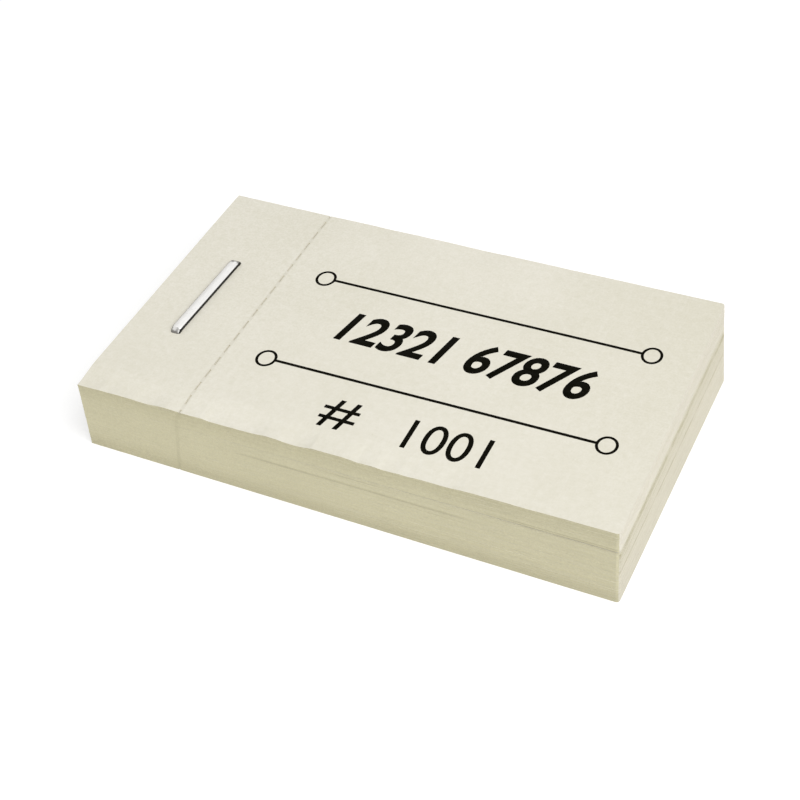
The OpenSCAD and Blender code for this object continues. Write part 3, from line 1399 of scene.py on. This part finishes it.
def zinc_wire():
    material, tree, shader = new_material("zinc_wire")
    place = millimetres(tree)
    lines = noise(tree, millimetres(tree, WIRE_LINES), 1.0, 3.0, 0.6)
    dull = noise(tree, place, 1.3, 3.0, 0.6)
    spots = tree.smooth(noise(tree, place, 4.0, 2.0), 0.62, 0.74)
    x, y, _ = tree.split(place)
    # far: how far a point lies on the stub side of the crown; the SHADED mix there is painted shade.
    far = WIRE_X / MM + (y - WIRE_Y / MM) * SKEWED - x
    from_end = CROWN_L / MM / 2 - abs(y - WIRE_Y / MM)
    from_end = from_end - (y > WIRE_Y / MM) * FAR_CRACK_AND_SHADE
    # Dark at the bends: cracked zinc, and painted shade where the wire goes down into the paper.
    cracked_and_shaded = 1.0 - tree.smooth(from_end + (noise(tree, place, 3.0, 2.0) - 0.5) * 1.1, 0.05, 0.50)
    colour = mix_colour(tree, dull, *ZINC)
    colour = mix_colour(tree, spots * 0.30, colour, SPOT)
    colour = mix_colour(tree, tree.smooth(lines, 0.52, 0.75) * 0.45, colour, ROLLED)
    colour = mix_colour(tree, tree.smooth(far, -0.1, 0.5) * 0.55, colour, SHADED)
    colour = mix_colour(tree, cracked_and_shaded * 0.85, colour, CRACKED_AND_SHADED)
    set_finish(tree, shader, colour, 0.24 + lines * 0.16 + spots * 0.15 + cracked_and_shaded * 0.2)
    shader.inputs["Metallic"].default_value = 1.0
    set_bumps(tree, shader, lines, 0.30, 0.01 * MM)
    return material


zinc = zinc_wire()
print(zinc.name, "has", len(zinc.node_tree.nodes), "nodes")

# %% [markdown]
# ## Lacquer and painted shade
# Staples come glued side by side in a strip, and the dark lacquer that held them stays on the sides of
# the wire. The thin black line along the foot of the crown is painted shade, in the same dark finish. A
# film that thin needs no mesh of its own: it is a second finish, for the faces on the sides of the wire.

# %% Lacquer and painted shade material
LACQUER_AND_SHADE = (rgb(8, 7, 6), rgb(40, 37, 32))


def lacquer_and_painted_shade():
    material, tree, shader = new_material("lacquer_and_painted_shade")
    film = noise(tree, millimetres(tree, (3.0, 1.0, 3.0)), 1.6, 3.0, 0.6)
    colour = mix_colour(tree, tree.smooth(film, 0.42, 0.75), *LACQUER_AND_SHADE)
    set_finish(tree, shader, colour, 0.40 + film * 0.25, 0.3)
    return material


lacquer_and_shade = lacquer_and_painted_shade()
print("wire finishes:", zinc.name, lacquer_and_shade.name)

# %% [markdown]
# ## The path of the staple
# A staple is one piece of flat wire with four bends. It follows a path, so a line of six points is all
# it takes: a tip, two corners up and two down, and the other tip.

# %% Line of six points
TIP_Y = CROWN_L / 2 - CLINCH_L
LEG_Y = CROWN_L / 2 - WIRE_T / 2
CLINCH_Z = staple_low.z + WIRE_T / 2
CROWN_Z = staple_high.z - WIRE_T / 2


def staple_path():
    half = [(TIP_Y, CLINCH_Z), (LEG_Y, CLINCH_Z), (LEG_Y, CROWN_Z)]
    line = half + [(-along, up) for along, up in reversed(half)]
    mesh = bpy.data.meshes.new("staple_path")
    edges = [(i, i + 1) for i in range(len(line) - 1)]
    points = [(WIRE_X + SKEWED * along, WIRE_Y + along, up) for along, up in line]
    mesh.from_pydata(points, edges, [])
    return mesh


print("legs", round((CROWN_Z - CLINCH_Z) / MM, 2), "mm long")

# %% [markdown]
# ## Bending the wire
# A geometry tree rounds the corners of that line and sweeps a rounded rectangle along it. The tips are
# then squeezed to the chisel points that pierce the paper. Faces that look along the strip get the dark
# finish: the near side below the top rounding, where it is painted shade at the foot of the crown, and
# the far side over its edge, where it is lacquer.

# %% Geometry tree for the staple
BEND_STEPS = 7
ROUND_STEPS = 6
POINT_SHARE = 0.3
NEAR_SIDE = 0.6
FAR_SIDE = -0.5
# Top of the painted shade on the near side of the wire.
DARK_SIDE_TOP = staple_high.z - WIRE_T * 0.19
WIRE_INPUTS = dict.fromkeys(("Wire Width", "Wire Thickness", "Bend", "Round", "Point"), "number")


def fillet(tree, curve, count, radius):
    sockets = {"Curve": curve, "Radius": radius, "Count": count, "Limit Radius": True}
    return tree.node("GeometryNodeFilletCurve", {"mode": "POLY"}, sockets)


def swept_wire(tree, size):
    path = tree.node("GeometryNodeMeshToCurve", None, {"Mesh": size["Geometry"]})
    path = fillet(tree, path, BEND_STEPS, size["Bend"])
    flat = {"Curve": path, "Normal": (1.0, 0.0, 0.0)}
    path = tree.node("GeometryNodeSetCurveNormal", {"mode": "FREE"}, flat)
    box = {"Width": size["Wire Width"], "Height": size["Wire Thickness"]}
    section = tree.node("GeometryNodeCurvePrimitiveQuadrilateral", {"mode": "RECTANGLE"}, box)
    section = fillet(tree, section, ROUND_STEPS, size["Round"])
    sockets = {"Curve": path, "Profile Curve": section, "Fill Caps": True}
    return tree.node("GeometryNodeCurveToMesh", None, sockets)


def chisel_points(tree, wire, size):
    x, y, z = tree.split(tree.node("GeometryNodeInputPosition"))
    keep = tree.clamp((abs(y - WIRE_Y) - TIP_Y) / size["Point"], 0.0, 1.0)
    keep = tree.math("MAXIMUM", keep * (1 - POINT_SHARE) + POINT_SHARE, z > STACK_H / 2)
    return set_place(tree, wire, tree.point(x, y, CLINCH_Z + (z - CLINCH_Z) * keep))


def staple_tree():
    tree, size = geometry_tree("bent_wire", WIRE_INPUTS)
    wire = chisel_points(tree, swept_wire(tree, size), size)
    across, _, _ = tree.split(tree.node("GeometryNodeInputNormal"))
    _, _, height = tree.split(tree.node("GeometryNodeInputPosition"))
    # The near side below the top rounding gets the dark finish as painted shade at the crown's foot.
    near = (across > NEAR_SIDE) * (height < DARK_SIDE_TOP)
    away = across < FAR_SIDE
    end_tree(tree, keep_as(tree, wire, "cut", near + away, "FACE"), [zinc, lacquer_and_shade])
    return tree


bent_wire = staple_tree()
print("wire tree has", len(bent_wire.nodes.nodes), "nodes")

# %% [markdown]
# The lacquer makes the wire a trace wider than the bare steel. The staple holds the stubs, so it rides
# with them.

# %% Build the staple
FILM_T = 0.04 * MM
wire_sizes = {
    "Wire Width": WIRE_W + 2 * FILM_T,
    "Wire Thickness": WIRE_T,
    "Bend": 0.55 * MM,
    "Round": 0.21 * MM,
    "Point": 0.5 * MM,
}
staple = run_tree(bent_wire, "staple_wire", staple_path(), wire_sizes)
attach(staple, "stub_block")
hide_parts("staple")
print("staple", [round(v / MM, 2) for v in staple.dimensions], "mm,", triangles(staple), "triangles")

# %% [markdown]
# ## Floor
# The book lies on a white sweep. To the camera, and in reflections, the open floor is white because it
# glows a little, more with the distance from the book, and the shadow under the book stays. To the book
# the floor is only a pale surface that throws some light back. More lamps would whiten the floor too,
# but they would bleach the book.

# %% White floor that keeps the shadow
FLOOR_HALF = 3.0
FLOOR_DROP = -0.01 * MM
FLOOR_GREY = (0.80, 0.80, 0.80, 1.0)
HALF_WHITE = (0.55, 0.55, 0.55, 1.0)
WHITE = (1.0, 1.0, 1.0, 1.0)


def seen_directly(tree):
    rays = tree.node("ShaderNodeLightPath", None, None, "Is Camera Ray")
    return tree.clamp(rays + rays.other("Is Glossy Ray") + rays.other("Is Transmission Ray"), 0.0, 1.0)


def white_floor():
    material, tree, shader = new_material("white_floor")
    tree.nodes.nodes.remove(shader)
    dull = tree.node("ShaderNodeBsdfDiffuse", None, {"Color": FLOOR_GREY})
    soft = tree.node("ShaderNodeBsdfDiffuse", None, {"Color": HALF_WHITE})
    x, y, _ = tree.split(tree.node("ShaderNodeTexCoord", None, None, "Object"))
    away = tree.smooth(tree.math("SQRT", x * x + y * y), 0.08, 0.35)
    pale = mix_colour(tree, away, HALF_WHITE, WHITE)
    glow = tree.node("ShaderNodeEmission", None, {"Color": pale, "Strength": 1.0})
    white = tree.node("ShaderNodeAddShader", None, {0: soft, 1: glow})
    both = tree.node("ShaderNodeMixShader", None, {0: seen_directly(tree), 1: dull, 2: white})
    tree.plug(tree.nodes.nodes["Material Output"].inputs["Surface"], both)
    return material


def studio_floor():
    mesh = bpy.data.meshes.new("floor")
    corners = [(-1, -1), (1, -1), (1, 1), (-1, 1)]
    mesh.from_pydata([(x * FLOOR_HALF, y * FLOOR_HALF, 0) for x, y in corners], [], [(0, 1, 2, 3)])
    mesh.materials.append(white_floor())
    floor = add_object("floor", mesh)
    floor.location.z = FLOOR_DROP
    return floor


floor = studio_floor()
print("floor", 2 * FLOOR_HALF, "m wide")

# %% [markdown]
# ## Light
# Pale light comes from all round, at less than half of white, and a broad soft lamp stands to the
# right, in front and above. That is plain studio light, at which a colour looks about as it is written.

# %% World and lamp
SKY = 0.44
LAMP_WAY = Vector((0.34, -0.23, 0.60))
LAMP_DISTANCE = 0.6
LAMP_SIZE = 0.45
LAMP_WATTS = 2.85


def studio_world():
    world = bpy.data.worlds.new("studio")
    bpy.context.scene.world = world
    world.use_nodes = True
    tree = Tree(world.node_tree)
    back = world.node_tree.nodes["Background"]
    back.inputs["Color"].default_value = WHITE
    tree.plug(back.inputs["Strength"], seen_directly(tree) * (1.0 - SKY) + SKY)


def soft_lamp():
    lamp = bpy.data.lights.new("key", "AREA")
    lamp.size = LAMP_SIZE
    lamp.energy = LAMP_WATTS
    holder = add_object("key", lamp)
    way = LAMP_WAY.normalized()
    holder.location = way * LAMP_DISTANCE
    holder.rotation_mode = "QUATERNION"
    holder.rotation_quaternion = way.to_track_quat("Z", "Y")
    return holder


studio_world()
key = soft_lamp()
bpy.context.scene.view_settings.view_transform = "Standard"
print("lamp at", [round(v, 2) for v in key.location])

# %% [markdown]
# ## Camera
# The view was fitted to the book's outline: a long lens, 26 degrees round from the long side and 42.5
# above the table, with the camera tipped by a little over two degrees. No shift is needed.

# %% Camera
AZIMUTH, ELEVATION, ROLL = (math.radians(angle) for angle in (25.919, 42.518, -2.399))
DISTANCE = 191.472 * MM
TARGET = Vector((-1.754 * MM, 1.048 * MM, 0.0))
LENS = 81.02
SENSOR = 36.0


def place_camera():
    data = bpy.data.cameras.new("camera")
    data.sensor_width = SENSOR
    data.lens = LENS
    data.clip_start = 0.01
    data.clip_end = 20.0
    camera = add_object("camera", data)
    flat = math.cos(ELEVATION)
    back = Vector((math.sin(AZIMUTH) * flat, -math.cos(AZIMUTH) * flat, math.sin(ELEVATION)))
    right = Vector((math.cos(AZIMUTH), math.sin(AZIMUTH), 0.0))
    up = back.cross(right)
    tipped = right * math.cos(ROLL) + up * math.sin(ROLL)
    level = up * math.cos(ROLL) - right * math.sin(ROLL)
    turn = Matrix((tipped, level, back)).transposed()
    camera.matrix_world = Matrix.Translation(TARGET + back * DISTANCE) @ turn.to_4x4()
    bpy.context.scene.camera = camera
    return camera


camera = place_camera()
print("camera at", [round(v / MM, 1) for v in camera.location], "mm")

# %% [markdown] ## Finish
# The dressed book has to fill the same box as the solids.

# %% Finish
bpy.context.view_layer.update()
